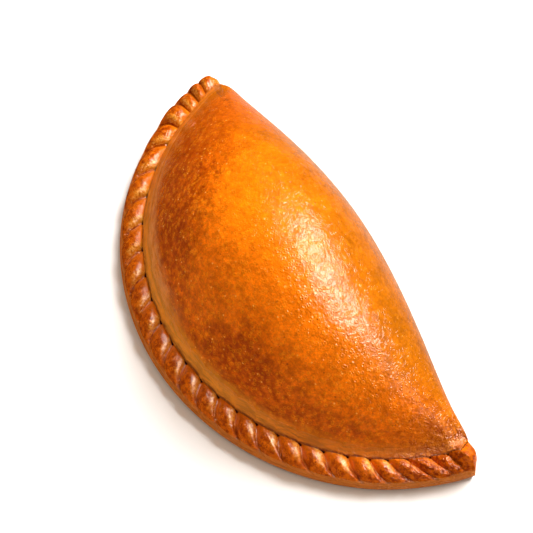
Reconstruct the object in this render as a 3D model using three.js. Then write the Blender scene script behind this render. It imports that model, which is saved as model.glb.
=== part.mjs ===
// Empanada: a half-moon pastry folded from one disc of dough over its filling and baked uncut, so it is
// one solid. A twisted crimp runs along the curved rim on a thin base edge, a flat skirt lies inside it,
// and a plump dome rises from the skirt and rolls over into the folded back edge. The underside is flat.
//
// Frame: millimetres, +X along the length, +Y towards the fold, +Z up, origin under the middle of the
// bounding box.

import * as THREE from "three";

// Driving dimensions, in millimetres unless the name says otherwise.
const RIM_RADIUS = 77.2; // outer edge of the crimped rim, an arc of the dough disc
const RIM_CENTRE_BEHIND = 16.9; // how far that arc's centre lies behind the line of the tips
const TIP_ROUNDING = { left: 3.3, right: 2.6 }; // how much the corners where rim and fold meet are blunted
const LEFT_SHOULDER = 0.9; // how far the rim swells out just before the left tip
const SHOULDER_AT = 0.94; // where, as a share of the way from the middle to the tip
const SHOULDER_LENGTH = 0.06; // and over what share of it
const HEIGHT = 42.2;
const DOME_PEAK_Y = -20; // the dome's pole, measured from the line of the tips

// The folded edge swells past the line of the tips, more evenly on the left, and flares at the tips.
const FOLD_BULGE = 9.5;
const FOLD_SETBACK = 0.55; // what is left of the bulge at the tips
const FOLD_FULLNESS = { left: 1.55, right: 1.9 }; // exponent: higher draws the swell to the middle
const TIP_FLARE = { left: 2, right: 3.7 };
const TIP_FLARE_LENGTH = 11;
const NOSE_HEIGHT = { middle: 10.1, tips: 7.4 }; // widest line of the folded edge
const NOSE_TUCK = 5; // how far it turns back under

// The crimp: folds of dough twisted over one another like a rope. Its folds are wide on the left, tighten
// to the right and are squeezed together at both tips. Angles are degrees from the middle of the rim.
const CRIMP_COUNT = 28; // folds from tip to tip
const FOLD_DEGREES = { left: 7.3, right: 4.9 }; // a fold's width along the rim, before the squeeze
const FOLD_TIGHTENS = [-62, 25]; // between these angles
const TIP_SQUEEZE = { left: 0.69, right: 0.57 }; // share of its width that a fold has lost at the tips
const LEFT_SQUEEZE = [59, 74.5]; // degrees to the left of the middle
const RIGHT_SQUEEZE = [69, 77.5]; // and to the right
const CRIMP_WIDTH = 6.9; // from the stitch line to the rim's outer edge
const NARROW_TIP = { left: 0.58, right: 0.36 }; // share of that width left at the tips
const CRIMP_NARROWS = [0.86, 1]; // shares of the way from the middle to a tip
const CRIMP_RISE = 3.1; // how far a crest stands over the line from stitch to base edge
const CRIMP_DEPTH = 2.6; // how deep the crease between two folds cuts
const CRIMP_TWIST = { left: 0.85, right: 1.02 }; // folds by which a crease has moved on at the base edge
const TWIST_CHANGES = [0.2, 0.7]; // shares of the way along the rim
const EARLY_TWIST = 0.62; // share of the twist that comes evenly, the rest comes near the base edge
const TWIST_START = 1.5; // folds over which the twist starts at the left tip
const TWIST_END = 2.6; // and over which it ends
const STRAIGHT_END = 0.8; // folds at the right tip that aren't twisted
const CREST_AT = 0.5; // where across a fold its crest lies
const CREST_SWELLING = { inner: 2.2, outer: 0.8 }; // exponents of a fold's rise from the crease
const LIP_DROP = 0.3; // how much lower than the crest its lip over the next fold lies
const LIP_SHARPNESS = 6;
const CRIMP_UNEVENNESS = 0.14; // how much one fold's crest differs from the next
const FOLDS_MERGE_OVER = 1.7; // last folds at each tip that sink and merge
const FOLDS_MERGED = 0.8; // share of the crease's depth that is lost at a tip
const FOLDS_SINK = 0.55; // and of the crest's height
const STITCH_DEPTH = 0.8; // groove along the stitch line
const PIT_DEPTH = 0.9; // holes that stay open where a crease meets the skirt
const PIT_SIZE = { folds: 0.09, bend: 0.12 };
const NOTCH_DEPTH = 0.1; // how far the stitch line gives way at a crease
const NOTCH_OVERHANG = 0.15; // and how far a crest bulges over it
const CRIMP_END_ROUNDING = 2.2; // of the last fold's end face, at the tips

// The base edge: the bottom layer of dough, which shows under the crimp.
const BASE_EDGE_HEIGHT = 2.6;
const BASE_EDGE_LEDGE = 0.05; // how far it stands out past the crimp
const BASE_EDGE_GROOVE = 0.6; // depth of the groove between the crimp and the base edge
const BASE_EDGE_ROUNDING = 1.2;

// The skirt and the dome that rises from it.
const SKIRT_WIDTH = 2.6;
const SKIRT_HEIGHT = { middle: 5.4, tips: 6.8 };
const WALL_SOFTNESS = 1.2; // how gently the skirt turns up into the dome
const WALL_POWER = 0.617; // how steeply the dome rises from the skirt
const FOLD_POWER = 0.51; // and from the fold, where it is blunter
const TAPER_POWER = 0.88; // how the dome's height follows the pastry's width towards the tips
const SWELL = 0.5; // uneven rise and fall of the dome
const SWELL_LENGTH = 80;

// Lumps where the crimp starts and ends, and the dough gathered at the right tip.
const KNOB_RISE = { left: 2.2, right: 2.6 };
const KNOB_RADIUS = 4.5;
const KNOB_INSET = new THREE.Vector2(4, -1.5); // from the tip, towards the middle and the rim
const PUCKER_DEPTH = 0.7;
const PUCKER_RADIUS = 9;
const PUCKER_FOLDS = 9;

// Mesh density.
const COLUMNS_PER_CRIMP = 7;
const FOLD_COLUMNS = 40;
const DOME_ROWS = 14;
const CRIMP_ROWS = 8;
const BASE_ROWS = 3;

const RIM_DEPTH = RIM_RADIUS - RIM_CENTRE_BEHIND;
const TIP_REACH = Math.sqrt(RIM_RADIUS ** 2 - RIM_CENTRE_BEHIND ** 2);
const RIM_SWEEP = Math.asin(TIP_REACH / RIM_RADIUS); // half of the arc, from its middle to a tip
const TIP_LINE_Y = (RIM_DEPTH - FOLD_BULGE) / 2; // puts the origin midway between rim and fold
const RIM_CENTRE = new THREE.Vector2(0, TIP_LINE_Y + RIM_CENTRE_BEHIND);
const POLE = new THREE.Vector2(0, TIP_LINE_Y + DOME_PEAK_Y);
const KNOB_X = TIP_REACH - KNOB_INSET.x;
const KNOB_Y = TIP_LINE_Y + KNOB_INSET.y;
const DOME_SPAN = RIM_DEPTH - CRIMP_WIDTH - SKIRT_WIDTH + FOLD_BULGE;
const PEAK_SHARE = WALL_POWER / (WALL_POWER + FOLD_POWER); // of the span, where the section is highest
const PEAK_SECTION = PEAK_SHARE ** WALL_POWER * (1 - PEAK_SHARE) ** FOLD_POWER;
const TIP_ZONE = [0.8 * TIP_REACH, 0.95 * TIP_REACH]; // where rim and fold draw together
const ANGLE_STEPS = 600; // along the rim, for laying out the folds
const TINY = 1e-6;

const { lerp, clamp, smoothstep, radToDeg } = THREE.MathUtils;

// The widest line of the folded edge.
function foldLine(x) {
  const side = x < 0 ? "left" : "right";
  const share = Math.max(0, 1 - (x / TIP_REACH) ** 2) ** FOLD_FULLNESS[side];
  const flare = TIP_FLARE[side] * Math.exp(-(((TIP_REACH - Math.abs(x)) / TIP_FLARE_LENGTH) ** 2));
  return TIP_LINE_Y + lerp(FOLD_SETBACK, FOLD_BULGE, share) + flare;
}

// Width of the crimp, which narrows at both tips.
function crimpWidth(x) {
  const narrow = NARROW_TIP[x < 0 ? "left" : "right"];
  return CRIMP_WIDTH * lerp(1, narrow, smoothstep(Math.abs(x) / TIP_REACH, ...CRIMP_NARROWS));
}

// How far a point lies inside the rim, for an inset of 0, or inside the stitch line, for one of 1.
function rimDistance(point, inset) {
  const fromShoulder = (point.x / TIP_REACH + SHOULDER_AT) / SHOULDER_LENGTH;
  const radius = RIM_RADIUS + LEFT_SHOULDER * Math.exp(-(fromShoulder ** 2));
  return radius - inset * crimpWidth(point.x) - point.distanceTo(RIM_CENTRE);
}

// Positive inside the rim or the stitch line and inside the fold, with rounded tips.
function insideness(point, inset) {
  const rim = rimDistance(point, inset);
  const fold = foldLine(point.x) - point.y;
  const rightwards = smoothstep(point.x / TIP_REACH, -0.5, 0.5);
  return rim + fold - Math.hypot(rim, fold, lerp(TIP_ROUNDING.left, TIP_ROUNDING.right, rightwards));
}

// Walks from a start along a direction to where the condition stops holding.
function walk(start, direction, reach, holds) {
  let near = 0;
  let far = reach;
  for (let step = 0; step < 34; step++) {
    const middle = (near + far) / 2;
    if (holds(start.clone().addScaledVector(direction, middle))) near = middle;
    else far = middle;
  }
  return start.clone().addScaledVector(direction, near);
}

// The direction out of the outline, from the slope of insideness.
function outwards(point) {
  const reach = 0.05;
  const at = (dx, dy) => insideness(new THREE.Vector2(point.x + dx, point.y + dy), 0);
  return new THREE.Vector2(at(-reach, 0) - at(reach, 0), at(0, -reach) - at(0, reach)).normalize();
}

// A place on the outline, seen from the pole. Its span runs from the edge in to the stitch line. Crimp
// is how much of the crimp's width that is, 1 on the rim and 0 on the fold, and square is how squarely
// the span meets the edge, which it does on the rim but not on the crimp's end faces.
function outlinePlace(target) {
  const ray = target.clone().sub(POLE).normalize();
  const edge = walk(POLE, ray, 2 * RIM_RADIUS, (point) => insideness(point, 0) > 0);
  const out = outwards(edge);
  const tipShare = smoothstep(Math.abs(edge.x), ...TIP_ZONE);
  const inwards = out.clone().negate().lerp(ray.negate(), tipShare).normalize();
  const inner = walk(edge, inwards, 3 * CRIMP_WIDTH, (point) => insideness(point, 1) < 0);
  const span = inner.sub(edge);
  const crimp = Math.min(1, span.length() / crimpWidth(edge.x));
  const square = clamp(-span.dot(out) / (span.length() + TINY), 0, 1);
  return { edge, out, span, crimp, square };
}

// A fold's width in degrees, at an angle from the middle of the rim.
function foldDegrees(angle) {
  const width = lerp(FOLD_DEGREES.left, FOLD_DEGREES.right, smoothstep(angle, ...FOLD_TIGHTENS));
  const left = 1 - TIP_SQUEEZE.left * smoothstep(-angle, ...LEFT_SQUEEZE);
  const right = 1 - TIP_SQUEEZE.right * smoothstep(angle, ...RIGHT_SQUEEZE);
  return width * left * right;
}

// Folds passed from the left tip to each of the steps along the rim.
const foldsPassed = [0];
for (let step = 0; step < ANGLE_STEPS; step++) {
  const density = (at) => 1 / foldDegrees(radToDeg(RIM_SWEEP) * ((2 * at) / ANGLE_STEPS - 1));
  foldsPassed.push(foldsPassed[step] + (density(step) + density(step + 1)) / 2);
}

// The rim's place a number of folds on from the left tip.
function rimPlace(folds) {
  const passed = (folds / CRIMP_COUNT) * foldsPassed[ANGLE_STEPS];
  const next = clamp(foldsPassed.findIndex((count) => count >= passed), 1, ANGLE_STEPS);
  const [before, after] = [foldsPassed[next - 1], foldsPassed[next]];
  const step = next - 1 + (passed - before) / (after - before);
  const angle = RIM_SWEEP * ((2 * step) / ANGLE_STEPS - 1);
  const spot = new THREE.Vector2(Math.sin(angle), -Math.cos(angle));
  return outlinePlace(spot.multiplyScalar(RIM_RADIUS).add(RIM_CENTRE));
}

// Where a crease that starts a number of folds on has got to, part of the way over the crimp.
function twisted(folds, bend) {
  const twist = lerp(CRIMP_TWIST.left, CRIMP_TWIST.right, smoothstep(folds / CRIMP_COUNT, ...TWIST_CHANGES));
  const start = Math.min(1, folds / TWIST_START);
  const end = clamp((CRIMP_COUNT - STRAIGHT_END - folds) / TWIST_END, 0, 1);
  return folds + twist * start * end * lerp(bend ** 3, bend, EARLY_TWIST);
}

// Rise of the knobs on the tips and of the dough gathered at the right one.
function tipRelief(point) {
  const knob = (side, x) => {
    const away = Math.hypot(point.x - x, point.y - KNOB_Y) / KNOB_RADIUS;
    return KNOB_RISE[side] * Math.exp(-(away ** 2));
  };
  const fromTip = point.clone().sub(new THREE.Vector2(TIP_REACH, TIP_LINE_Y));
  const reach = fromTip.length() / PUCKER_RADIUS;
  const pucker = reach * Math.exp(1 - reach ** 2) * Math.cos(PUCKER_FOLDS * fromTip.angle());
  return knob("left", -KNOB_X) + knob("right", KNOB_X) + PUCKER_DEPTH * pucker;
}

// Height of the upper surface inside the stitch line and the fold.
function domeHeight(point) {
  const fromStitch = rimDistance(point, 1);
  const wall = WALL_SOFTNESS * Math.log1p(Math.exp((fromStitch - SKIRT_WIDTH) / WALL_SOFTNESS));
  const fold = Math.max(0, foldLine(point.x) - point.y);
  const width = wall + fold + TINY;
  const section = ((wall / width) ** WALL_POWER * (fold / width) ** FOLD_POWER) / PEAK_SECTION;
  const along = Math.min(1, (point.x / TIP_REACH) ** 2);
  const nose = lerp(NOSE_HEIGHT.middle, NOSE_HEIGHT.tips, along);
  const tipShare = smoothstep(Math.abs(point.x), ...TIP_ZONE);
  const skirt = lerp(SKIRT_HEIGHT.middle, SKIRT_HEIGHT.tips, tipShare);
  const foot = lerp(skirt, nose, wall / width);
  const rise = HEIGHT - lerp(SKIRT_HEIGHT.middle, NOSE_HEIGHT.middle, PEAK_SHARE);
  const turn = (2 * Math.PI) / SWELL_LENGTH;
  const swell = SWELL * Math.sin(turn * point.x) * Math.cos(turn * (1.4 * point.y + 0.4 * point.x));
  return foot + (rise * (width / DOME_SPAN) ** TAPER_POWER + swell) * section + tipRelief(point);
}

// Cross-section of the crimp along the rim: each fold swells out of the crease, at 0, to a crest, at about
// 1, sinks a little and ends in a sharp lip. Each crest is a little higher or lower than the next.
function crest(folds) {
  const phase = folds - Math.floor(folds);
  const up = clamp(phase / CREST_AT, 0, 1);
  const down = clamp((phase - CREST_AT) / (1 - CREST_AT), 0, 1);
  const swelling = (1 - (1 - up) ** CREST_SWELLING.inner) ** CREST_SWELLING.outer;
  const sinking = (1 - LIP_DROP * down ** 2) * (1 - down ** LIP_SHARPNESS) ** 0.7;
  return swelling * sinking * (1 + CRIMP_UNEVENNESS * Math.sin(Math.floor(folds) * 2.4));
}

// How far the surface sinks in the hole at the end of a crease.
function pit(folds, bend) {
  const fromCrease = Math.abs(folds - Math.round(folds)) / PIT_SIZE.folds;
  return PIT_DEPTH * Math.exp(-(fromCrease ** 2) - (bend / PIT_SIZE.bend) ** 2);
}

// The stitch line's point of a column, without its pit, pushed inwards under a crest.
function stitchPoint({ edge, span, crimp, square }, height) {
  const push = (NOTCH_DEPTH * (1 - height) - NOTCH_OVERHANG * height) * square;
  const plan = edge.clone().addScaledVector(span, 1 - push / CRIMP_WIDTH);
  const groove = STITCH_DEPTH * crimp * square * (1.1 - 0.1 * height);
  return new THREE.Vector3(plan.x, plan.y, domeHeight(plan) - groove);
}

// A point over the crimp, or round the folded edge's underside. Bend is the share of the way over the
// crimp and drop the share of the way down the base edge below it.
function sidePoint({ edge, out, span, crimp, square }, folds, top, bend, drop) {
  const height = crest(folds);
  const turn = Math.PI * bend;
  const tipness = 1 - smoothstep(Math.min(folds, CRIMP_COUNT - folds), 0, FOLDS_MERGE_OVER);
  const rise = CRIMP_RISE * (1 - FOLDS_SINK * tipness);
  const depth = CRIMP_DEPTH * (1 - FOLDS_MERGED * tipness);
  const crease = depth * (1 - height) * (1 - 0.35 * bend ** 2) * (1 - bend ** 8);
  const push = (NOTCH_DEPTH * (1 - height) - NOTCH_OVERHANG * height) * crimp * square * (1 - bend) ** 2;
  const inner = ((1 + Math.cos(turn)) / 2) * (1 - drop) * (1 - push / CRIMP_WIDTH);
  const groove = BASE_EDGE_GROOVE * bend ** 6 * (1 - smoothstep(drop, 0, 0.25));
  const ledge = (BASE_EDGE_LEDGE * bend ** 4 - groove) * square;
  const scallop = (crease / 2) * Math.max(0, -Math.cos(turn)) * (1 - drop);
  const endFace = CRIMP_END_ROUNDING * (1 - square) * bend;
  const crimpOut = ledge - scallop - endFace - BASE_EDGE_ROUNDING * drop ** 4;
  const arch = lerp(top, BASE_EDGE_HEIGHT, bend) + (rise - crease) * Math.sin(turn);
  const crimpUp = (arch - pit(folds, bend) * square) * (1 - drop);

  const share = (bend * CRIMP_ROWS + drop * BASE_ROWS) / (CRIMP_ROWS + BASE_ROWS);
  const noseTurn = (Math.PI / 2) * share;
  const noseOut = -NOSE_TUCK * (1 - Math.cos(noseTurn));
  const noseUp = top * (1 - Math.sin(noseTurn));

  const plan = edge.clone().addScaledVector(span, inner);
  plan.addScaledVector(out, lerp(noseOut, crimpOut, crimp));
  const relief = tipRelief(plan) * Math.sin(turn) * (1 - drop) * crimp;
  return new THREE.Vector3(plan.x, plan.y, drop === 1 ? 0 : lerp(noseUp, crimpUp, crimp) + relief);
}

// One column of the surface, from the stitch line or the fold down to the ground. The place on the
// outline may move on as the column bends over the crimp.
function sideColumn(placeAt, folds) {
  const place = placeAt(0);
  const start = stitchPoint(place, crest(folds));
  const pitted = start.clone().setZ(start.z - pit(folds, 0) * place.crimp * place.square);
  const points = [pitted];
  for (let row = 1; row <= CRIMP_ROWS + BASE_ROWS; row++) {
    const bend = Math.min(1, row / CRIMP_ROWS);
    const drop = Math.max(0, (row - CRIMP_ROWS) / BASE_ROWS);
    points.push(sidePoint(placeAt(bend), folds, start.z, bend, drop));
  }
  return points;
}

// One column of the dome, from beside the pole out to the stitch line or the fold.
function domeColumn(end) {
  const points = [];
  for (let row = 1; row < DOME_ROWS; row++) {
    const share = Math.sin((Math.PI / 2) * (row / DOME_ROWS));
    const plan = new THREE.Vector2(end.x, end.y).sub(POLE).multiplyScalar(share).add(POLE);
    points.push(new THREE.Vector3(plan.x, plan.y, domeHeight(plan)));
  }
  return points;
}

// All columns once round, from the left tip along the rim to the right tip and back along the fold.
function allColumns() {
  const columns = [];
  for (let i = 0; i < CRIMP_COUNT * COLUMNS_PER_CRIMP; i++) {
    const folds = i / COLUMNS_PER_CRIMP;
    columns.push(sideColumn((bend) => rimPlace(twisted(folds, bend)), folds));
  }
  for (let i = 0; i < FOLD_COLUMNS; i++) {
    const x = TIP_REACH * Math.cos((Math.PI * i) / FOLD_COLUMNS);
    const place = outlinePlace(new THREE.Vector2(x, foldLine(x)));
    columns.push(sideColumn(() => place, 0));
  }
  return columns.map((side) => [...domeColumn(side[0]), ...side]);
}

// A closed surface from columns that share their number of rows, and a point at either end.
function closedSurface(columns, topPoint, bottomPoint) {
  const rows = columns[0].length;
  const vertices = [topPoint, ...columns.flat(), bottomPoint];
  const at = (column, row) => 1 + (column % columns.length) * rows + row;
  const indices = [];
  for (let column = 0; column < columns.length; column++) {
    indices.push(0, at(column, 0), at(column + 1, 0));
    for (let row = 0; row + 1 < rows; row++) {
      const [a, b] = [at(column, row), at(column + 1, row)];
      indices.push(a, a + 1, b + 1, a, b + 1, b);
    }
    indices.push(vertices.length - 1, at(column + 1, rows - 1), at(column, rows - 1));
  }
  const geometry = new THREE.BufferGeometry().setFromPoints(vertices);
  geometry.setIndex(indices);
  geometry.computeVertexNormals();
  return geometry;
}

const peak = new THREE.Vector3(POLE.x, POLE.y, domeHeight(POLE));
const underside = new THREE.Vector3(POLE.x, POLE.y, 0);
const crust = new THREE.MeshStandardMaterial({ color: 0xc8720f, roughness: 0.38, metalness: 0 });
const pastry = new THREE.Mesh(closedSurface(allColumns(), peak, underside), crust);
pastry.name = "empanada";

const empanada = new THREE.Group();
empanada.add(pastry);

export default empanada;
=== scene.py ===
"""Looks of a baked empanada: a half-moon pastry with a puffed dome, a pale skirt and a twisted rope crimp.

All sizes of the pastry are in millimetres in the part's own frame (+X along the length, +Y towards the
fold, +Z up, underside at zero) and are turned into metres when a mesh is made.
"""

import logging
import math
from dataclasses import dataclass, field
from enum import Enum

import bpy
import numpy as np
from mathutils import Matrix, Vector


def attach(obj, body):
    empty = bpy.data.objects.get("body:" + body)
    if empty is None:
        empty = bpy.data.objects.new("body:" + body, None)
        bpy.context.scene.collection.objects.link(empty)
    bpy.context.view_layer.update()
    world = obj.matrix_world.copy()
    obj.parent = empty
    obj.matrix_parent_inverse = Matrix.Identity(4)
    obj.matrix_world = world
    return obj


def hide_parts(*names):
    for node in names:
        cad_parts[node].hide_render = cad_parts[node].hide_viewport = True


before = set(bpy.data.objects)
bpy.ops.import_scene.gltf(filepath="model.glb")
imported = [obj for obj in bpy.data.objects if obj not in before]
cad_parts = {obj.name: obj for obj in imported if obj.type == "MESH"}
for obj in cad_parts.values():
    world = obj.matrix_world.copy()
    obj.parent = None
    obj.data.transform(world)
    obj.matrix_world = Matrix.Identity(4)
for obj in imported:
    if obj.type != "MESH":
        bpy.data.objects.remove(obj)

LOG = logging.getLogger("empanada")
MM = 0.001
SCREEN_WHITE = 255
HALVINGS = 34  # steps in which a walk closes in on the outline
SLOPE_STEP = 0.05  # millimetres over which the outline's direction is taken
HAIR = 1e-9  # keeps a length from being zero where it is divided by
PATTERN_SHIFT = (170.0, 90.0, 40.0)  # takes a second pattern away from the first

Array = np.ndarray
Colour = tuple[float, float, float]
Socket = bpy.types.NodeSocket
Feed = Socket | Enum | float | tuple


def srgb(red: int, green: int, blue: int) -> Colour:
    """Turns a screen colour into a linear one.

    Args:
        red: Red from 0 to 255.
        green: Green from 0 to 255.
        blue: Blue from 0 to 255.

    Returns:
        The same colour in linear light.
    """
    shares = (channel / SCREEN_WHITE for channel in (red, green, blue))
    return tuple(s / 12.92 if s <= 0.04045 else ((s + 0.055) / 1.055) ** 2.4 for s in shares)


def ease(x: Array | float, low: float, high: float) -> Array:
    """Rises smoothly from 0 at low to 1 at high.

    Args:
        x: Values to grade.
        low: Where the rise starts.
        high: Where it ends.

    Returns:
        The graded values.
    """
    t = np.clip((np.asarray(x, float) - low) / (high - low), 0, 1)
    return t * t * (3 - 2 * t)


class DonenessAndPaintedLight(Enum):
    """Colours that the dough takes as it bakes, and some that are painted light or shade, in linear light."""

    RAW = srgb(244, 184, 92)
    CREAM = srgb(216, 132, 30)
    # painted reflection: the pale band on the left skirt, where the white floor is mirrored
    REFLECTED_PEACH = srgb(232, 160, 92)
    SKIRT = srgb(236, 150, 40)
    SKIRT_LEFT = srgb(198, 106, 14)
    SKIRT_RIGHT = srgb(220, 124, 14)
    AMBER = srgb(240, 119, 4)
    GOLD = srgb(250, 156, 20)
    # painted shade: darker towards the fold, where the key light falls hardest
    FOLD_SHADE_CARAMEL = srgb(160, 86, 4)
    RUSSET = srgb(182, 84, 4)
    TOAST = srgb(166, 66, 2)
    # pale specks, partly real and partly painted glints on the glaze's bumps
    PALE_FLECK_AND_GLINT = srgb(252, 184, 84)
    # dark pores, and also painted shade along the stitch line
    PORE_AND_STITCH_SHADE = srgb(124, 48, 4)
    LIP = srgb(198, 112, 22)
    TROUGH = srgb(222, 112, 8)
    STRAND = srgb(200, 94, 4)
    STRAND_DEEP = srgb(136, 48, 2)
    BASE = srgb(200, 112, 28)
    PIT = srgb(52, 18, 4)
    UNDERSIDE = srgb(196, 132, 66)
    UNDERSIDE_BROWN = srgb(150, 84, 32)

    @property
    def rgba(self) -> tuple[float, float, float, float]:
        """The colour with full opacity."""
        return (*self.value, 1.0)


@dataclass(frozen=True)
class RimPlace:
    """Where columns of the surface stand on the outline.

    Attributes:
        edge: Points on the outer edge.
        out: Outward unit directions there.
        inner: Points on the stitch line.
        span: Share of the full rim width left between the two.
    """

    edge: Array
    out: Array
    inner: Array
    span: Array

    @property
    def square(self) -> Array:
        """Compares the way to the stitch line with the outward direction.

        Returns:
            How squarely the crimp's width runs across the edge, from 0 to 1.
        """
        across = self.edge - self.inner
        length = np.linalg.norm(across, axis=1) + HAIR
        return np.clip((across * self.out).sum(1) / length, 0, 1)


@dataclass(frozen=True)
class HalfMoonOutline:
    """Plan of the pastry: an arc of the dough disc for the rim, and the folded edge behind it."""

    rim_radius: float = 77.2
    rim_centre_behind: float = 16.9
    tip_rounding: tuple[float, float] = (3.3, 2.6)
    left_shoulder: float = 0.9
    shoulder_at: float = 0.94
    shoulder_length: float = 0.06
    fold_bulge: float = 9.5
    fold_setback: float = 0.55
    fold_fullness: tuple[float, float] = (1.55, 1.9)
    tip_flare: tuple[float, float] = (2.0, 3.7)
    tip_flare_length: float = 11.0
    crimp_width: float = 6.9
    narrow_tip: tuple[float, float] = (0.58, 0.36)
    narrows_from: tuple[float, float] = (0.86, 1.0)
    peak_y: float = -20.0
    tip_zone: tuple[float, float] = (0.8, 0.95)
    rounding_changes: tuple[float, float] = (-0.5, 0.5)

    @property
    def rim_depth(self) -> float:
        """From the line of the tips to the front of the rim."""
        return self.rim_radius - self.rim_centre_behind

    @property
    def tip_reach(self) -> float:
        """Half the distance between the corners."""
        return math.sqrt(self.rim_radius**2 - self.rim_centre_behind**2)

    @property
    def tip_line_y(self) -> float:
        """Where the line of the tips lies."""
        return (self.rim_depth - self.fold_bulge) / 2

    @property
    def rim_centre(self) -> Array:
        """Middle of the dough disc."""
        return np.array([0.0, self.tip_line_y + self.rim_centre_behind])

    @property
    def pole(self) -> Array:
        """Where the columns of the surface meet, on top and below."""
        return np.array([0.0, self.tip_line_y + self.peak_y])

    def crimp_width_at(self, x: Array) -> Array:
        """Width of the crimp, which narrows at both tips."""
        narrows = ease(np.abs(x) / self.tip_reach, *self.narrows_from)
        return self.crimp_width * (1 - (1 - np.where(x < 0, *self.narrow_tip)) * narrows)

    def rim_distance(self, points: Array, inset: float) -> Array:
        """How far points lie inside the rim, or inside the stitch line where the crimp meets the skirt.

        Args:
            points: Plan points, one a row.
            inset: 0 for the rim, 1 for the stitch line.

        Returns:
            Positive on the filling's side.
        """
        width = inset * self.crimp_width_at(points[:, 0])
        from_shoulder = (points[:, 0] / self.tip_reach + self.shoulder_at) / self.shoulder_length
        radius = self.rim_radius + self.left_shoulder * np.exp(-(from_shoulder**2))
        return radius - width - np.linalg.norm(points - self.rim_centre, axis=1)

    @property
    def half_sweep(self) -> float:
        """Half the angle of the rim's arc."""
        return math.asin(self.tip_reach / self.rim_radius)

    def tip_share(self, x: Array) -> Array:
        """Rises from 0 along the pastry to 1 close to both tips."""
        return ease(np.abs(x), self.tip_zone[0] * self.tip_reach, self.tip_zone[1] * self.tip_reach)

    def fold_line(self, x: Array) -> Array:
        """Where the folded edge runs.

        Args:
            x: Places along the pastry.

        Returns:
            The edge's y there.
        """
        left = x < 0
        fullness = np.where(left, *self.fold_fullness)
        flare = np.where(left, *self.tip_flare)
        swell = np.maximum(0, 1 - (x / self.tip_reach) ** 2) ** fullness
        near_tip = np.exp(-(((self.tip_reach - np.abs(x)) / self.tip_flare_length) ** 2))
        bulge = (self.fold_bulge - self.fold_setback) * swell
        return self.tip_line_y + self.fold_setback + bulge + flare * near_tip

    def insideness(self, points: Array, inset: float = 0.0) -> Array:
        """How far points lie inside the outline, with its corners blunted.

        Args:
            points: Plan points, one a row.
            inset: 0 for the pastry's edge, 1 for the stitch line.

        Returns:
            Positive inside, zero on the outline.
        """
        rim = self.rim_distance(points, inset)
        fold = self.fold_line(points[:, 0]) - points[:, 1]
        right = ease(points[:, 0] / self.tip_reach, *self.rounding_changes)
        rounding = self.tip_rounding[0] + (self.tip_rounding[1] - self.tip_rounding[0]) * right
        return rim + fold - np.sqrt(rim**2 + fold**2 + rounding**2)

    def walk(self, start: Array, way: Array, reach: float, inset: float, outwards: bool) -> Array:
        """Walks from start until the outline is met.

        Args:
            start: Plan points to walk from.
            way: Unit directions.
            reach: Longest walk.
            inset: 0 to meet the pastry's edge, 1 to meet the stitch line.
            outwards: True if the walk starts inside.

        Returns:
            The points met.
        """
        sign = 1 if outwards else -1
        low, high = np.zeros(len(start)), np.full(len(start), reach)
        for _ in range(HALVINGS):
            middle = (low + high) / 2
            short = sign * self.insideness(start + way * middle[:, None], inset) > 0
            low, high = np.where(short, middle, low), np.where(short, high, middle)
        return start + way * low[:, None]

    def place(self, targets: Array) -> RimPlace:
        """Finds the edge, its outward direction and the stitch line on the way to each target.

        Args:
            targets: Plan points on or near the outline.

        Returns:
            The places found.
        """
        ray = targets - self.pole
        ray /= np.linalg.norm(ray, axis=1)[:, None]
        start = np.tile(self.pole, (len(targets), 1))
        edge = self.walk(start, ray, 2 * self.rim_radius, 0.0, True)
        step = np.array([[SLOPE_STEP, 0.0], [0.0, SLOPE_STEP]])
        out = np.stack([self.insideness(edge - s) - self.insideness(edge + s) for s in step], axis=1)
        out /= np.linalg.norm(out, axis=1)[:, None]
        tip = self.tip_share(edge[:, 0])[:, None]
        inwards = -out * (1 - tip) - ray * tip
        inwards /= np.linalg.norm(inwards, axis=1)[:, None]
        inner = self.walk(edge, inwards, 3 * self.crimp_width, 1.0, False)
        span = np.minimum(1, np.linalg.norm(inner - edge, axis=1) / self.crimp_width_at(edge[:, 0]))
        return RimPlace(edge, out, inner, span)


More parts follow.
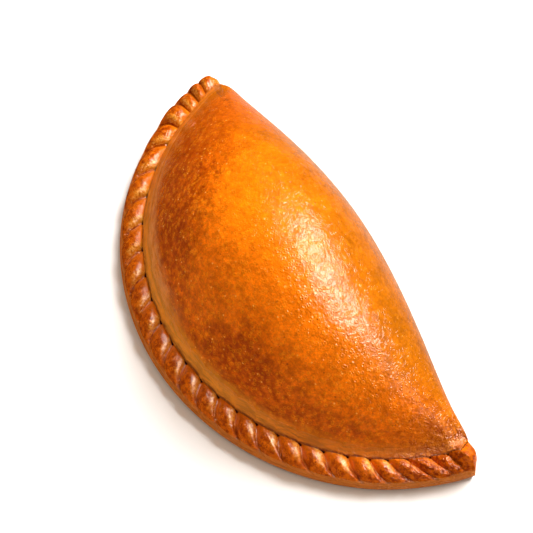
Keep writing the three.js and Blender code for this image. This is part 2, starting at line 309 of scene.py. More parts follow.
@dataclass(frozen=True)
class PuffedDome:
    """Height of the dough over the filling, from the skirt up and over to the folded edge."""

    outline: HalfMoonOutline
    height: float = 42.2
    nose_height: tuple[float, float] = (10.1, 7.4)
    skirt_width: float = 2.6
    skirt_height: tuple[float, float] = (5.4, 6.8)
    wall_softness: float = 1.2
    wall_limit: float = 60.0
    least_width: float = 1e-6
    wall_power: float = 0.617
    fold_power: float = 0.51
    taper_power: float = 0.88
    swell: float = 0.5
    swell_length: float = 80.0
    swell_lean: tuple[float, float] = (1.4, 0.4)
    knob_rise: tuple[float, float] = (2.2, 2.6)
    knob_radius: float = 4.5
    knob_inset: tuple[float, float] = (4.0, -1.5)
    pucker_depth: float = 0.7
    pucker_radius: float = 9.0
    pucker_folds: int = 9

    def tip_relief(self, points: Array) -> Array:
        """The knobs of squeezed dough at both tips and the puckers at the right one.

        Args:
            points: Plan points, one a row.

        Returns:
            How far the dough stands up there.
        """
        plan = self.outline
        relief = np.zeros(len(points))
        for side, rise in zip((-1, 1), self.knob_rise):
            inset, back = self.knob_inset
            middle = np.array([side * (plan.tip_reach - inset), plan.tip_line_y + back])
            relief += rise * np.exp(-((points - middle) ** 2).sum(1) / self.knob_radius**2)
        from_tip = points - np.array([plan.tip_reach, plan.tip_line_y])
        reach = np.linalg.norm(from_tip, axis=1) / self.pucker_radius
        angle = np.arctan2(from_tip[:, 1], from_tip[:, 0]) % (2 * math.pi)
        return relief + self.pucker_depth * reach * np.exp(1 - reach**2) * np.cos(self.pucker_folds * angle)

    def at(self, points: Array) -> Array:
        """Height of the top surface.

        Args:
            points: Plan points inside the stitch line, one a row.

        Returns:
            Heights over the underside.
        """
        plan = self.outline
        x, y = points[:, 0], points[:, 1]
        inland = plan.rim_distance(points, 1.0)
        past_skirt = np.minimum(self.wall_limit, (inland - self.skirt_width) / self.wall_softness)
        wall = self.wall_softness * np.log1p(np.exp(past_skirt))
        fold = np.maximum(0, plan.fold_line(x) - y)
        width = wall + fold + self.least_width
        peak = self.wall_power / (self.wall_power + self.fold_power)
        section = (wall / width) ** self.wall_power * (fold / width) ** self.fold_power
        section /= peak**self.wall_power * (1 - peak) ** self.fold_power
        along = np.minimum(1, (x / plan.tip_reach) ** 2)
        nose = self.nose_height[0] + (self.nose_height[1] - self.nose_height[0]) * along
        skirt = self.skirt_height[0] + (self.skirt_height[1] - self.skirt_height[0]) * plan.tip_share(x)
        foot = skirt + (nose - skirt) * wall / width
        rise = self.height - (self.skirt_height[0] + (self.nose_height[0] - self.skirt_height[0]) * peak)
        full_width = plan.rim_depth - plan.crimp_width - self.skirt_width + plan.fold_bulge
        turn = 2 * math.pi / self.swell_length
        across, slant = self.swell_lean
        swell = self.swell * np.sin(turn * x) * np.cos(across * turn * y + slant * turn * x)
        puffed = rise * (width / full_width) ** self.taper_power + swell
        return foot + puffed * section + self.tip_relief(points)


@dataclass(frozen=True)
class RopeCrimp:
    """The twisted edge: plump folds of dough lying over one another, on a thin base edge."""

    outline: HalfMoonOutline
    dome: PuffedDome
    folds: int = 28
    fold_degrees: tuple[float, float] = (7.3, 4.9)
    tightens: tuple[float, float] = (-62.0, 25.0)
    squeeze: tuple[float, float] = (0.69, 0.57)
    left_squeeze: tuple[float, float] = (59.0, 74.5)
    right_squeeze: tuple[float, float] = (69.0, 77.5)
    rise: float = 3.1
    crease_depth: float = 2.6
    crease_fade: float = 0.35
    crease_runout: int = 8
    twist: tuple[float, float] = (0.85, 1.02)
    early_twist: float = 0.62
    twist_changes: tuple[float, float] = (0.2, 0.7)
    twist_start: float = 1.5
    twist_end: float = 2.6
    straight_end: float = 0.8
    crest_at: float = 0.5
    swelling: tuple[float, float] = (2.2, 0.8)
    lip_drop: float = 0.3
    lip_sharpness: float = 6.0
    lip_fall: float = 0.7
    unevenness: float = 0.14
    unevenness_turn: float = 2.4
    merges_over: float = 1.7
    merged: float = 0.8
    sinks: float = 0.55
    stitch_depth: float = 0.8
    stitch_dip: float = 0.1
    pit_depth: float = 0.9
    pit_size: tuple[float, float] = (0.09, 0.12)
    notch_depth: float = 0.1
    notch_overhang: float = 0.15
    end_rounding: float = 2.2
    base_height: float = 2.6
    base_groove: float = 0.6
    groove_sharpness: int = 6
    groove_end: float = 0.25
    base_ledge: float = -0.05
    base_rounding: float = 1.2
    base_sharpness: int = 4
    nose_tuck: float = 5.0
    turned: float = 8 / 11
    rim_samples: int = 601

    def angle(self, folds: Array) -> Array:
        """Where the rim stands after so many folds, in radians from the middle of its arc.

        The folds are wide on the left, tighten to the right, and are squeezed together at both tips.

        Args:
            folds: Folds from the left tip.

        Returns:
            Angles, positive towards the right tip.
        """
        sweep = math.degrees(self.outline.half_sweep)
        places = np.linspace(-sweep, sweep, self.rim_samples)
        wide, tight = self.fold_degrees
        width = wide + (tight - wide) * ease(places, *self.tightens)
        width *= 1 - self.squeeze[0] * ease(-places, *self.left_squeeze)
        width *= 1 - self.squeeze[1] * ease(places, *self.right_squeeze)
        steps = (1 / width[1:] + 1 / width[:-1]) / 2
        passed = np.concatenate([[0.0], np.cumsum(steps)])
        return np.radians(np.interp(folds, passed / passed[-1] * self.folds, places))

    def twisted(self, folds: Array, bend: float) -> Array:
        """Where creases that start after so many folds have got to, part of the way over the rope.

        Args:
            folds: Folds from the left tip, on the stitch line.
            bend: 0 on the stitch line, 1 on the base edge.

        Returns:
            Folds from the left tip, there.
        """
        left = np.minimum(1, folds / self.twist_start)
        right = np.clip((self.folds - self.straight_end - folds) / self.twist_end, 0, 1)
        lean = self.early_twist * bend + (1 - self.early_twist) * bend**3
        start, end = self.twist
        twist = start + (end - start) * ease(folds / self.folds, *self.twist_changes)
        return folds + twist * left * right * lean

    def rim_place(self, folds: Array) -> RimPlace:
        """Finds places on the rim.

        Args:
            folds: Folds from the left tip.

        Returns:
            The places after so many folds.
        """
        angle = self.angle(folds)
        plan = self.outline
        way = np.stack([np.sin(angle), -np.cos(angle)], axis=1)
        return plan.place(plan.rim_centre + plan.rim_radius * way)

    def crest(self, folds: Array) -> Array:
        """Cross-section of the folds: each swells out of the crease, sinks a little, and ends in a sharp lip.

        Args:
            folds: Folds from the left tip.

        Returns:
            0 in the crease, about 1 on the crest.
        """
        phase = folds - np.floor(folds)
        up = np.clip(phase / self.crest_at, 0, 1)
        down = np.clip((phase - self.crest_at) / (1 - self.crest_at), 0, 1)
        swelling = (1 - (1 - up) ** self.swelling[0]) ** self.swelling[1]
        sinking = (1 - self.lip_drop * down**2) * (1 - down**self.lip_sharpness) ** self.lip_fall
        return swelling * sinking * (1 + self.unevenness * np.sin(np.floor(folds) * self.unevenness_turn))

    def tipness(self, folds: Array) -> Array:
        """1 at both tips, where the folds sink and merge, and 0 along the rim."""
        return 1 - ease(np.minimum(folds, self.folds - folds), 0.0, self.merges_over)

    def pit(self, folds: Array, bend: float) -> Array:
        """How deep the holes are, that stay open where a crease meets the skirt, from 0 to 1."""
        from_crease = np.abs(folds - np.round(folds)) / self.pit_size[0]
        return np.exp(-(from_crease**2) - (bend / self.pit_size[1]) ** 2)

    def notch(self, crest: Array) -> Array:
        """How far the stitch line is drawn outwards in the creases, and inwards under the crests."""
        return self.notch_depth * (1 - crest) - self.notch_overhang * crest

    def side(self, place: RimPlace, folds: Array, top: Array, share: float) -> Array:
        """One row of the side, from the stitch line over the rope and under the base edge.

        Args:
            place: Places of the columns, already moved on by the twist.
            folds: Folds from the left tip at the columns, on the stitch line.
            top: Heights of the stitch line.
            share: 0 on the stitch line, 1 on the underside.

        Returns:
            Points, one a row.
        """
        bend = min(1, share / self.turned)
        drop = max(0, (share - self.turned) / (1 - self.turned))
        turn = math.pi * bend
        width = self.outline.crimp_width
        square, span, crest = place.square, place.span, self.crest(folds)
        tipness = self.tipness(folds)
        rise = self.rise * (1 - self.sinks * tipness)
        crease = self.crease_depth * (1 - crest) * (1 - self.merged * tipness)
        crease = crease * (1 - self.crease_fade * bend**2) * (1 - bend**self.crease_runout)
        back = (1 + math.cos(turn)) / 2 * (1 - drop)
        notch = self.notch(crest) * span * square / width * (1 - bend) ** 2
        fading = 1 - float(ease(drop, 0.0, self.groove_end))
        groove = self.base_groove * bend**self.groove_sharpness * fading
        ledge = self.base_ledge * bend**self.base_sharpness
        rim_out = crease / 2 * min(0, math.cos(turn)) * (1 - drop) - (groove + ledge) * square
        rounding = self.base_rounding * drop**self.base_sharpness
        rim_out = rim_out - rounding - self.end_rounding * (1 - square) * bend
        rim_up = (top + (self.base_height - top) * bend + (rise - crease) * math.sin(turn)) * (1 - drop)
        rim_up = rim_up - self.pit_depth * self.pit(folds, bend) * square * (1 - drop)
        nose_turn = math.pi / 2 * share
        nose_out = -self.nose_tuck * (1 - math.cos(nose_turn))
        nose_up = top * (1 - math.sin(nose_turn))
        out = nose_out + (rim_out - nose_out) * span
        keep = (back - notch * back)[:, None]
        plan_points = place.edge + (place.inner - place.edge) * keep + place.out * out[:, None]
        height = nose_up + (rim_up - nose_up) * span
        if bend > 0:
            height = height + self.dome.tip_relief(plan_points) * math.sin(turn) * (1 - drop) * span
        if share >= 1:
            height = np.zeros(len(height))
        return np.column_stack([plan_points, height])


@dataclass
class PastryShell:
    """The whole baked surface as one closed skin, with what the finish needs to know of each point."""

    name: str = "empanada_crust"
    node: str = "empanada"
    body: str = "root"
    slot: str = "crust"
    columns_per_fold: int = 18
    fold_columns: int = 168
    dome_rows: int = 84
    dome_row_power: float = 1.5
    crimp_rows: int = 44
    squeezed_from: tuple[float, float] = (54.0, 66.0)
    outline: HalfMoonOutline = field(default_factory=HalfMoonOutline)

    def __post_init__(self) -> None:
        """Sets up the dome and the crimp on the same outline."""
        self.dome = PuffedDome(self.outline)
        self.crimp = RopeCrimp(self.outline, self.dome)

    def column_places(self, bend: float) -> tuple[RimPlace, Array]:
        """Where all columns stand at one step over the rope, and the folds they count as.

        Args:
            bend: 0 on the stitch line, 1 on the base edge.

        Returns:
            The places and each column's count of folds from the left tip.
        """
        crimp, plan = self.crimp, self.outline
        folds = np.arange(crimp.folds * self.columns_per_fold) / self.columns_per_fold
        rim = crimp.rim_place(crimp.twisted(folds, bend))
        x = plan.tip_reach * np.cos(math.pi * np.arange(self.fold_columns) / self.fold_columns)
        fold = plan.place(np.column_stack([x, plan.fold_line(x)]))
        both = RimPlace(
            np.vstack([rim.edge, fold.edge]),
            np.vstack([rim.out, fold.out]),
            np.vstack([rim.inner, fold.inner]),
            np.concatenate([rim.span, fold.span]),
        )
        return both, np.concatenate([folds, np.zeros(self.fold_columns)])

    def stitch_line(self, start: RimPlace, folds: Array) -> tuple[Array, Array]:
        """Finds where the crimp meets the skirt.

        Args:
            start: Places of the columns.
            folds: Folds from the left tip at the columns.

        Returns:
            Plan points, and their heights.
        """
        crimp = self.crimp
        crest = crimp.crest(folds)
        square = start.square * start.span
        across = start.edge - start.inner
        length = np.linalg.norm(across, axis=1) + HAIR
        shift = crimp.notch(crest) * square / length
        stitch = start.inner + across * shift[:, None]
        sunk = crimp.stitch_depth * (1 + crimp.stitch_dip * (1 - crest))
        sunk = sunk + crimp.pit_depth * crimp.pit(folds, 0.0)
        return stitch, self.dome.at(stitch) - sunk * square

    def rows(self) -> tuple[Array, dict[str, Array]]:
        """Makes the rows of points from the dome's pole down to the underside.

        Returns:
            Points as rows by columns by 3, and the values of each point that the finish reads.
        """
        plan, dome, crimp = self.outline, self.dome, self.crimp
        start, folds = self.column_places(0.0)
        square = start.square * start.span
        stitch, top = self.stitch_line(start, folds)
        none = np.zeros(len(folds))
        points, inland, over, pits = [], [], [], []
        for row in range(1, self.dome_rows):
            share = 1 - (1 - row / self.dome_rows) ** self.dome_row_power
            plan_points = plan.pole + (stitch - plan.pole) * share
            points.append(np.column_stack([plan_points, dome.at(plan_points)]))
            inland.append(np.linalg.norm(stitch - plan_points, axis=1))
            over.append(none)
            pits.append(none)
        points.append(np.column_stack([stitch, top]))
        inland.append(none)
        over.append(none)
        pits.append(crimp.pit(folds, 0.0) * square)
        top = top + crimp.pit_depth * crimp.pit(folds, 0.0) * square
        for row in range(1, self.crimp_rows + 1):
            share = row / self.crimp_rows
            bend = min(1, share / crimp.turned)
            place, _ = self.column_places(bend)
            points.append(crimp.side(place, folds, top, share))
            inland.append(none)
            over.append(np.full(len(folds), share / crimp.turned))
            pits.append(crimp.pit(folds, bend) * square)
        shape = (len(points), len(folds))
        turn = np.concatenate([[0.0], np.cumsum(np.linalg.norm(np.diff(stitch, axis=0), axis=1))])
        values = {
            "inland": np.array(inland),
            "from_fold": np.array([plan.fold_line(row[:, 0]) - row[:, 1] for row in points]),
            "over": np.array(over),
            "pit": np.array(pits),
            "phase": np.broadcast_to(folds - np.floor(folds), shape),
            "strand": np.broadcast_to(np.floor(folds), shape),
            "tip": np.array([ease(row[:, 0], *self.squeezed_from) for row in points]),
            "rimness": np.broadcast_to(square, shape),
            "along": np.broadcast_to(turn, shape),
        }
        return np.array(points), values

    def make(self) -> bpy.types.Object:
        """Builds the closed skin with its point values.

        Returns:
            The new object.
        """
        grid, values = self.rows()
        rows, columns = grid.shape[:2]
        pole = self.outline.pole
        summit = float(self.dome.at(pole[None])[0])
        points = np.vstack([[[*pole, summit]], grid.reshape(-1, 3), [[*pole, 0.0]]])
        j = np.arange(columns)
        k = (j + 1) % columns
        faces: list[list[int]] = [[0, 1 + a, 1 + b] for a, b in zip(j.tolist(), k.tolist())]
        for row in range(rows - 1):
            upper, lower = 1 + row * columns, 1 + (row + 1) * columns
            faces += np.stack([upper + j, lower + j, lower + k, upper + k], axis=1).tolist()
        last = 1 + (rows - 1) * columns
        faces += [[len(points) - 1, last + b, last + a] for a, b in zip(j.tolist(), k.tolist())]
        mesh = bpy.data.meshes.new(self.name)
        mesh.from_pydata((points * MM).tolist(), [], faces)
        mesh.update()
        mesh.shade_smooth()
        for name, grid_values in values.items():
            ends = grid_values[0].mean(), grid_values[-1].mean()
            flat = np.concatenate([[ends[0]], grid_values.reshape(-1), [ends[1]]]).astype(np.float32)
            mesh.attributes.new(name, "FLOAT", "POINT").data.foreach_set("value", flat)
        shell = bpy.data.objects.new(self.name, mesh)
        bpy.context.scene.collection.objects.link(shell)
        return shell

    def dress(self, shell: bpy.types.Object, finish: bpy.types.Material) -> None:
        """Puts the finish on, and ties the shell to the solid that it stands for.

        Args:
            shell: The skin.
            finish: Its material.
        """
        shell.data.materials.append(finish)
        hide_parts(self.node)
        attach(shell, self.body)


class NodeBench:
    """Lays nodes of one material and links them, so that a finish reads as a recipe."""

    COLOUR_MIX_INPUTS: tuple[int, int, int] = (0, 6, 7)
    COLOUR_MIX_OUTPUT: int = 2

    def __init__(self, tree: bpy.types.NodeTree) -> None:
        """Starts on an empty tree."""
        self.tree = tree
        tree.nodes.clear()

    def feed(self, socket: Socket, value: Feed) -> None:
        """Links a socket to another, or sets it.

        Args:
            socket: Input to feed.
            value: An output socket, one of the dough's colours, a number or a tuple.
        """
        if isinstance(value, Socket):
            self.tree.links.new(value, socket)
        elif isinstance(value, DonenessAndPaintedLight):
            socket.default_value = value.rgba
        else:
            socket.default_value = value

    def lay(self, kind: str, inputs: dict[str | int, Feed], **settings: str) -> bpy.types.Node:
        """Adds a node.

        Args:
            kind: Blender's name of the node type.
            inputs: What feeds its inputs, by name or number.
            **settings: Its own settings.

        Returns:
            The node.
        """
        node = self.tree.nodes.new(kind)
        for key, value in settings.items():
            setattr(node, key, value)
        for key, value in inputs.items():
            self.feed(node.inputs[key], value)
        return node

    def value(self, name: str) -> Socket:
        """A number stored at the points of the mesh."""
        return self.lay("ShaderNodeAttribute", {}, attribute_name=name).outputs["Fac"]

    def sum(self, operation: str, a: Feed, b: Feed = 0.0) -> Socket:
        """One step of arithmetic on two numbers."""
        return self.lay("ShaderNodeMath", {0: a, 1: b}, operation=operation).outputs[0]

    def chain(self, operation: str, first: Feed, *others: Feed) -> Feed:
        """The same step of arithmetic along several numbers.

        Args:
            operation: Blender's name of the step.
            first: First number.
            *others: The numbers after it.

        Returns:
            The result.
        """
        for other in others:
            first = self.sum(operation, first, other)
        return first

    def times(self, *factors: Feed) -> Feed:
        """The product of several numbers."""
        return self.chain("MULTIPLY", *factors)

    def plus(self, *terms: Feed) -> Feed:
        """The sum of several numbers."""
        return self.chain("ADD", *terms)

    def sway(self, pattern: Feed, reach: float) -> Feed:
        """A pattern from 0 to 1 made into a sway to both sides, over the given reach in all."""
        return self.times(self.sum("SUBTRACT", pattern, 0.5), reach)

    def grade(
        self, value: Feed, low: float, high: float, to_low: float = 0.0, to_high: float = 1.0
    ) -> Socket:
        """Maps a number smoothly from one range to another.

        Args:
            value: Number to map.
            low: Start of its range.
            high: End of its range.
            to_low: Result at the start.
            to_high: Result at the end.

        Returns:
            The mapped number.
        """
        inputs = {"Value": value, "From Min": low, "From Max": high, "To Min": to_low, "To Max": to_high}
        return self.lay("ShaderNodeMapRange", inputs, interpolation_type="SMOOTHSTEP").outputs[0]

    def band(self, value: Feed, start: float, full: float, fading: float, end: float) -> Feed:
        """A window on a number: 0 outside start and end, 1 between full and fading."""
        return self.times(self.grade(value, start, full), self.grade(value, fading, end, 1.0, 0.0))

    def mix(self, share: Feed, a: Feed, b: Feed) -> Socket:
        """Blends two colours.

        Args:
            share: 0 for the first, 1 for the second.
            a: First colour.
            b: Second colour.

        Returns:
            The blend.
        """
        node = self.lay("ShaderNodeMix", {}, data_type="RGBA")
        for place, value in zip(self.COLOUR_MIX_INPUTS, (share, a, b)):
            self.feed(node.inputs[place], value)
        return node.outputs[self.COLOUR_MIX_OUTPUT]

    def shaded(self, colour: Feed, strength: Feed) -> Socket:
        """A colour made darker or lighter."""
        return self.lay("ShaderNodeHueSaturation", {"Color": colour, "Value": strength}).outputs["Color"]

    def cloud(
        self, where: Feed, size: float, detail: float, rough: float = 0.5, swirl: float = 0.0
    ) -> Socket:
        """Lays soft random patches.

        Args:
            where: Place in millimetres.
            size: About how many millimetres the patches are across.
            detail: How many finer layers are added.
            rough: How strong the finer layers are.
            swirl: How much the patches are distorted.

        Returns:
            The patches, from 0 to 1.
        """
        inputs = {"Vector": where, "Scale": 1 / size, "Detail": detail}
        inputs |= {"Roughness": rough, "Distortion": swirl}
        return self.lay("ShaderNodeTexNoise", inputs).outputs["Fac"]

    def cells(self, where: Feed, size: float) -> Socket:
        """Distance to random points about size millimetres apart, in cell widths."""
        return self.lay("ShaderNodeTexVoronoi", {"Vector": where, "Scale": 1 / size}).outputs["Distance"]

    def vector(self, x: Feed, y: Feed, z: Feed) -> Socket:
        """A vector of three numbers."""
        return self.lay("ShaderNodeCombineXYZ", {0: x, 1: y, 2: z}).outputs[0]

    def elsewhere(self, where: Feed) -> Socket:
        """A place far away in the same pattern, for a second pattern that doesn't repeat the first."""
        return self.lay("ShaderNodeVectorMath", {0: where, 1: PATTERN_SHIFT}, operation="ADD").outputs[0]


@dataclass(frozen=True)
class RopeSpots:
    """What the colours of the rope go by.

    Attributes:
        where: Place in millimetres.
        grain: Fine patches from 0 to 1.
        over: How far over the rope, 0 on the stitch line and 1 on the base edge.
        ragged_over: The same, made uneven by the grain.
        ragged_phase: Place across the strand from 0 to 1, made uneven by the grain.
    """

    where: Socket
    grain: Socket
    over: Socket
    ragged_over: Socket
    ragged_phase: Socket


@dataclass(frozen=True)
class EggWashedCrust:
    """Baked dough brushed with egg: amber dome, pale skirt, and brown glazed strands with raw flanks.

    Sizes, spacings and heights are in millimetres. A pair of shares is where a change starts and ends.
    """

    name: str = "egg_washed_crust"
    gloss_roughness: float = 0.16
    matt_roughness: float = 0.4
    ior: float = 1.33
    wander_size: float = 13.0
    grain_size: float = 2.2
    strand_grain_size: float = 1.3
    fine_grain_size: float = 0.7
    patch_size: float = 6.0
    underside_patch_size: float = 8.0
    ring_size: float = 1.35
    ring_patch_size: float = 5.0
    fleck_and_glint_spacing: float = 2.3
    pore_spacing: float = 3.4
    fibre_size: float = 0.8
    fibre_stretch: float = 0.12
    rope_girth: float = 14.0
    flank_crackle_size: float = 0.75
    toast_reach: float = 10.5
    toast_bulge: float = 23.0
    toast_bulge_at: float = -31.0
    toast_bulge_width: float = 17.0
    toast_fade: float = 13.0
    toast_wander: float = 24.0
    toast_raggedness: float = 9.0
    scorch_at: tuple[float, float] = (22.0, -18.0)
    scorch_radius: float = 8.0
    scorch_strength: float = 0.9
    # painted light: strands darker over the first folds from the left tip, lighter from the middle of the rim
    # on
    strand_painted_light: tuple[float, float] = (0.9, 1.12)
    base_starts: tuple[float, float] = (0.78, 0.88)
    pit_darkens: tuple[float, float] = (0.08, 0.3)
    ring_height: float = 0.06
    peel_size: float = 2.0
    peel_height: float = 0.18
    crackle_size: float = 0.8
    crackle_height: tuple[float, float] = (0.14, 0.2)
    lump_size: float = 7.0
    lump_height: float = 0.5
    wrinkle_height: float = 0.3
    crinkle_size: float = 3.0
    crinkle_height: float = 0.9

    def make(self) -> bpy.types.Material:
        """Builds the material.

        Returns:
            The material, for one object.
        """
        material = bpy.data.materials.new(self.name)
        material.use_nodes = True
        bench = NodeBench(material.node_tree)
        place = bench.lay("ShaderNodeTexCoord", {}).outputs["Object"]
        where = bench.lay("ShaderNodeVectorMath", {0: place, "Scale": 1 / MM}, operation="SCALE").outputs[0]
        surface = bench.lay(
            "ShaderNodeBsdfPrincipled",
            {
                "Base Color": self.colour(bench, where),
                "Roughness": self.roughness(bench),
                "IOR": self.ior,
                "Normal": self.relief(bench, where),
            },
        )
        bench.lay("ShaderNodeOutputMaterial", {"Surface": surface.outputs[0]})
        return material

    def roughness(self, bench: NodeBench) -> Socket:
        """Glossy where the egg was brushed on, matt on the skirt and the base edge.

        Args:
            bench: Where the nodes are laid.

        Returns:
            The roughness.
        """
        over = bench.value("over")
        off_rope = bench.grade(over, 0.0, 0.06, 1.0, 0.0)
        skirt = bench.times(bench.grade(bench.value("inland"), 0.5, 4.5, 1.0, 0.0), off_rope)
        matt = bench.times(bench.plus(skirt, bench.grade(over, *self.base_starts)), bench.value("rimness"))
        return bench.grade(matt, 0.0, 1.0, self.gloss_roughness, self.matt_roughness)

    def fibres(self, bench: NodeBench) -> Socket:
        """Long wrinkles that run along the rim and the fold.

        Args:
            bench: Where the nodes are laid.

        Returns:
            The wrinkles, from 0 to 1.
        """
        depth = bench.plus(bench.value("inland"), bench.times(bench.value("over"), -self.rope_girth))
        stretched = bench.times(bench.value("along"), self.fibre_stretch)
        return bench.cloud(bench.vector(stretched, depth, 0.0), self.fibre_size, 3.0, 0.65)

    def rings(self, bench: NodeBench, where: Socket) -> Socket:
        """Rims of the small bubbles in the egg wash."""
        return bench.band(bench.cells(where, self.ring_size), 0.14, 0.28, 0.32, 0.48)

    def colour(self, bench: NodeBench, where: Socket) -> Socket:
        """Browning of the dome, skirt, strands, base edge and underside, with painted shade, light,
        reflection and glints.

        Args:
            bench: Where the nodes are laid.
            where: Place in millimetres.

        Returns:
            The colour of the whole crust.
        """
        over = bench.value("over")
        rope = bench.times(bench.grade(over, 0.0, 0.03), bench.grade(bench.value("rimness"), 0.25, 0.6))
        crust = bench.mix(rope, self.dome_colour(bench, where), self.rope_colour(bench, where, over))
        height = bench.lay("ShaderNodeSeparateXYZ", {0: where}).outputs["Z"]
        patches = bench.cloud(where, self.underside_patch_size, 5.0, 0.65)
        underside = bench.mix(bench.grade(patches, 0.35, 0.65), DonenessAndPaintedLight.UNDERSIDE, DonenessAndPaintedLight.UNDERSIDE_BROWN)
        return bench.mix(bench.grade(height, 0.02, 0.15, 1.0, 0.0), crust, underside)

    def dome_tone_with_fold_shade(self, bench: NodeBench, x: Socket, wander: Socket) -> Socket:
        """Amber over the dome, caramel towards the fold and russet towards the left tip. The caramel is
        painted shade that darkens the side the key light falls on hardest.

        Args:
            bench: Where the nodes are laid.
            x: Place along the pastry.
            wander: Broad patches from 0 to 1.

        Returns:
            The dome's colour before it is toasted.
        """
        right_lift = bench.grade(x, 38.0, 62.0, 0.0, 16.0)
        from_fold = bench.plus(bench.value("from_fold"), bench.sway(wander, 20.0), right_lift)
        # painted shade: caramel towards the fold holds down the side the key light falls on hardest
        dome = bench.mix(bench.grade(from_fold, 6.0, 34.0), DonenessAndPaintedLight.FOLD_SHADE_CARAMEL, DonenessAndPaintedLight.AMBER)
        russet = bench.times(bench.grade(x, -50.0, -25.0, 1.0, 0.0), bench.grade(x, -68.0, -56.0, 0.2, 1.0))
        return bench.mix(russet, dome, DonenessAndPaintedLight.RUSSET)

    def toast(self, bench: NodeBench, x: Socket, y: Socket, wander: Socket, grain: Socket) -> Socket:
        """A ragged toasted band along the skirt that bulges on the left, and a scorched patch.

        Args:
            bench: Where the nodes are laid.
            x: Place along the pastry.
            y: Place towards the fold.
            wander: Broad patches from 0 to 1.
            grain: Fine patches from 0 to 1.

        Returns:
            How toasted the dome is.
        """
        offset = bench.times(bench.plus(x, -self.toast_bulge_at), 1 / self.toast_bulge_width)
        bulge = bench.sum("EXPONENT", bench.times(offset, offset, -1.0))
        reach = bench.plus(bench.times(bulge, self.toast_bulge), self.toast_reach)
        far = bench.plus(bench.value("inland"), bench.sway(wander, self.toast_wander))
        past_toast = bench.plus(far, bench.sway(grain, self.toast_raggedness), bench.times(reach, -1.0))
        band = bench.grade(past_toast, -self.toast_fade, self.toast_fade, 1.0, 0.0)
        off_tips = bench.grade(bench.sum("ABSOLUTE", x), 50.0, 67.0, 1.0, 0.15)
        band = bench.times(band, off_tips, bench.value("rimness"))
        aside, deeper = bench.plus(x, -self.scorch_at[0]), bench.plus(y, -self.scorch_at[1])
        apart = bench.plus(bench.times(aside, aside), bench.times(deeper, deeper))
        scorch = bench.sum("EXPONENT", bench.times(apart, -(self.scorch_radius**-2)))
        both = bench.sum("MINIMUM", bench.plus(band, bench.times(scorch, self.scorch_strength)), 1.0)
        return bench.times(both, bench.grade(grain, 0.3, 0.7, 1.08, 0.66))

    def skirt_colour(self, bench: NodeBench, x: Socket, fibres: Socket) -> Socket:
        """Pale streaked dough, a little darker towards both tips.

        Args:
            bench: Where the nodes are laid.
            x: Place along the pastry.
            fibres: Long wrinkles from 0 to 1.

        Returns:
            The skirt's colour.
        """
        skirt = bench.mix(bench.grade(x, 12.0, 55.0), DonenessAndPaintedLight.SKIRT, DonenessAndPaintedLight.SKIRT_RIGHT)
        skirt = bench.mix(bench.grade(x, -55.0, -15.0, 1.0, 0.0), skirt, DonenessAndPaintedLight.SKIRT_LEFT)
        return bench.shaded(skirt, bench.grade(fibres, 0.38, 0.62, 0.76, 1.16))

    def dome_colour(self, bench: NodeBench, where: Socket) -> Socket:
        """Amber and gold with a toasted band over the pale skirt, a painted reflection and painted shade,
        finely speckled.

        Args:
            bench: Where the nodes are laid.
            where: Place in millimetres.

        Returns:
            The colour of all that lies inside the crimp.
        """
        inland, rimness = bench.value("inland"), bench.value("rimness")
        axes = bench.lay("ShaderNodeSeparateXYZ", {0: where}).outputs
        x = axes["X"]
        wander = bench.cloud(where, self.wander_size, 5.0, 0.6)
        grain = bench.cloud(where, self.grain_size, 4.0, 0.68)
        fibres = self.fibres(bench)
        toast = self.toast(bench, x, axes["Y"], wander, grain)
        dome = bench.mix(toast, self.dome_tone_with_fold_shade(bench, x, wander), DonenessAndPaintedLight.TOAST)
        plenty = bench.grade(bench.value("from_fold"), 8.0, 30.0, 0.3, 1.0)
        dome = self.speckled(bench, where, dome, grain, plenty)
        ragged = bench.plus(inland, bench.sway(fibres, 4.0))
        on_skirt = bench.times(bench.grade(ragged, 1.2, 4.6, 1.0, 0.0), rimness)
        dome = bench.mix(on_skirt, dome, self.skirt_colour(bench, x, fibres))
        # painted reflection: a pale peach band along the left skirt, mirroring the white floor
        on_left = bench.band(x, -58.0, -38.0, -14.0, 4.0)
        painted_reflection_band = bench.times(bench.band(ragged, 1.6, 3.0, 4.0, 6.0), on_left, rimness)
        dome = bench.mix(bench.times(painted_reflection_band, bench.grade(fibres, 0.4, 0.6, 0.15, 0.6)), dome, DonenessAndPaintedLight.REFLECTED_PEACH)
        knob = bench.mix(bench.grade(grain, 0.35, 0.65), DonenessAndPaintedLight.STRAND_DEEP, DonenessAndPaintedLight.LIP)
        dome = bench.mix(bench.times(bench.value("tip"), 0.8), dome, knob)
        off_tips = bench.grade(bench.sum("ABSOLUTE", x), 58.0, 68.0, 1.0, 0.0)
        # painted shade: a thin broken dark line along the stitch line, where the crimp meets the skirt
        stitch_shade = bench.times(bench.grade(inland, 0.1, 0.5, 0.7, 0.0), bench.grade(grain, 0.35, 0.55), rimness)
        dome = bench.mix(bench.times(stitch_shade, off_tips), dome, DonenessAndPaintedLight.PORE_AND_STITCH_SHADE)
        pits = bench.grade(bench.value("pit"), *self.pit_darkens)
        return bench.mix(bench.times(pits, off_tips), dome, DonenessAndPaintedLight.PIT)

